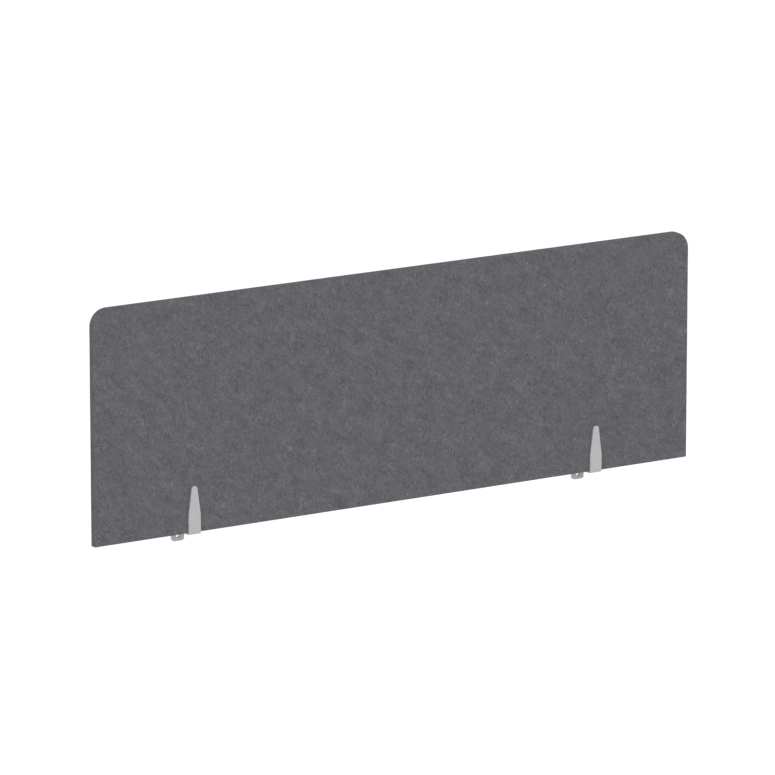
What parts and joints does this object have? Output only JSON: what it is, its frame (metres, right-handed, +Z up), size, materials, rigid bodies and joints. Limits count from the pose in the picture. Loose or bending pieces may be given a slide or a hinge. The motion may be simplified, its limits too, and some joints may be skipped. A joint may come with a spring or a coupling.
{
  "type": "acoustic desk screen",
  "caption": "Pressed felt desk screen with rounded top corners, held by forked steel brackets whose lugs bolt to a desk's frame.",
  "frame": {"origin": "midway between the two brackets' bolt holes, on the rear faces of their lugs", "axes": "+X along the board to the right as seen from its front, +Y from the board towards the table, along the bolt holes, +Z up"},
  "size_m": [1.18, 0.061, 0.4255],
  "materials": {
    "felt_board": "heathered dark grey pressed polyester felt",
    "bracket_paint": "light grey powder coat, satin",
    "screw_steel": "zinc plated"
  },
  "bodies": {
    "root": {"acoustic_panel": "felt_board", "front_strip_left": "bracket_paint", "front_strip_right": "bracket_paint", "rear_strip_left": "bracket_paint", "rear_strip_right": "bracket_paint", "strip_rivets_left": "bracket_paint", "strip_rivets_right": "bracket_paint", "panel_screws_left": "screw_steel", "panel_screws_right": "screw_steel"}
  },
  "joints": []
}
